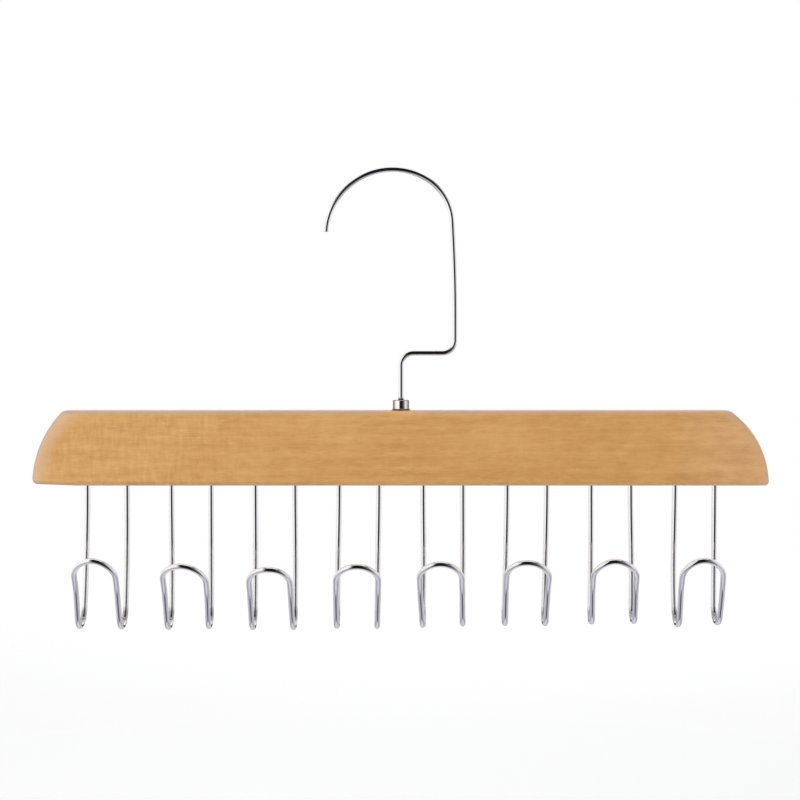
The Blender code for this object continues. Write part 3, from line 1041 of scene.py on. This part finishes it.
def wall_glow(n, axes):
    """Pale, but dark in front, with a dark band behind and a greyer foot."""
    turn = n.maths("ARCTAN2", axes["X"], n.product(axes["Y"], -1.0))
    turn = n.product(turn, n.spread(axes["Z"], *WALL_SPREADING))
    stops = [(0.5 + degrees / 360, colour) for degrees, colour in WALL_COLOURS]
    colour = n.ramp(n.spread(turn, -math.pi, math.pi), stops)
    behind = n.spread(n.maths("ABSOLUTE", turn), *BAND_RANGE_ROUND)
    under_top = n.spread(axes["Z"], *BAND_TOP_RANGE)
    over_foot = n.spread(axes["Z"], *BAND_FOOT_RANGE)
    colour = n.mix(n.product(behind, under_top, over_foot), colour, BAND_COLOUR)
    return n.mix(n.spread(axes["Z"], *WALL_FOOT_RANGE), colour, WALL_FOOT_COLOUR, "DARKEN")


def floor_glow(n, axes):
    """Lavender in a strip under the hooks and behind them, grey and then black towards the camera.

    The strip narrows and moves to the right in front. Beside it the card is grey, paler in front.
    """
    place = n.spread(axes["Y"], ROOM_RADIUS, -ROOM_RADIUS)
    strip, sides = n.ramp(place, FLOOR_STRIP), n.ramp(place, FLOOR_SIDES)
    off_centre = n.maths("SUBTRACT", axes["X"], n.spread(axes["Y"], *STRIP_CENTRE))
    half_width = n.spread(axes["Y"], *STRIP_HALF_WIDTH)
    outside = n.maths("SUBTRACT", n.maths("ABSOLUTE", off_centre), half_width)
    return n.mix(n.spread(outside, *STRIP_EDGE_RANGE), strip, sides)


def ceiling_glow(n, axes):
    """White, but black in front, in a strip that widens towards the camera's side of the room."""
    half_width = n.maths("MULTIPLY_ADD", axes["Y"], DARK_GROWTH, DARK_HALF_WIDTH)
    outside = n.maths("DIVIDE", n.maths("ABSOLUTE", axes["X"]), half_width)
    colour = n.mix(n.spread(outside, *DARK_EDGE_RANGE), CEILING_DARK, WHITE)
    return n.mix(n.spread(axes["Y"], *CEILING_WHITE_RANGE), colour, WHITE)


def make_wall():
    """The studio's wall, round the object, as bright plate shows it."""
    bm = bmesh.new()
    low, high = (
        [bm.verts.new(point) for point in circle(ROOM_RADIUS, z, WALL_STEPS)]
        for z in (WALL_LOW, WALL_HIGH)
    )
    for k in range(WALL_STEPS):
        bm.faces.new((low[k - 1], low[k], high[k], high[k - 1]))
    show_in_reflections(add_object("wall", bm), wall_glow)


def make_card(name, height, back, glow_of):
    """A level reflection card from the wall in front to a line behind the object."""
    edge = ROOM_RADIUS
    corners = ((-edge, -edge), (edge, -edge), (edge, back), (-edge, back))
    bm = bmesh.new()
    bm.faces.new([bm.verts.new((x, y, height)) for x, y in corners])
    show_in_reflections(add_object(name, bm), glow_of)


def make_flag():
    """A small black disc in reflections, which darkens the left shoulder of the crown."""
    bm = bmesh.new()
    bmesh.ops.create_circle(bm, cap_ends=True, radius=FLAG_RADIUS, segments=FLAG_SEGMENTS)
    flag = add_object("flag", bm)
    flag.location = FLAG_PLACE
    flag.rotation_euler = Vector(FLAG_PLACE).to_track_quat("Z", "Y").to_euler()
    show_in_reflections(flag, lambda n, axes: FLAG_COLOUR)


def make_studio():
    bpy.context.scene.view_settings.view_transform = "Standard"
    make_camera()
    make_world()
    make_floor()
    make_wall()
    make_card("floor_card", FLOOR_CARD_HEIGHT, ROOM_RADIUS, floor_glow)
    make_card("ceiling_card", CEILING_CARD_HEIGHT, CEILING_CARD_BACK, ceiling_glow)
    make_flag()
    for lamp in LAMPS:
        make_lamp(*lamp)


wood = wood_look()
chrome = plated_look("hook_chrome", CHROME, roughness=0.09, cloudiness=0.3)
# Painted shade at the stem's foot, just above the ferrule.
lay_foot_shade(chrome, STEM_FOOT_SHADE_RANGE, STEM_FOOT_SHADE)
wire_chrome = plated_look("wire_chrome", CHROME, roughness=0.10, cloudiness=0.3)
# Painted dark reflections on the U-bends.
paint_crook_reflections(wire_chrome)
nickel = plated_look("ferrule_nickel", NICKEL, roughness=0.12, cloudiness=0.4)
nickel.shader.inputs["Specular Tint"].default_value = (*NICKEL_EDGE_TINT, 1)
# Painted shade on the ferrule's sides and top.
shade_sides(nickel)
# Painted shadow and brown reflection of the wood at the ferrule's flange.
lay_foot_shade(nickel, FERRULE_FOOT_SHADE_RANGE, FERRULE_FOOT_SHADE)
make_bar(wood)
make_ferrule(nickel)
make_top_hook(chrome)
make_wire_hooks(wire_chrome)
make_studio()
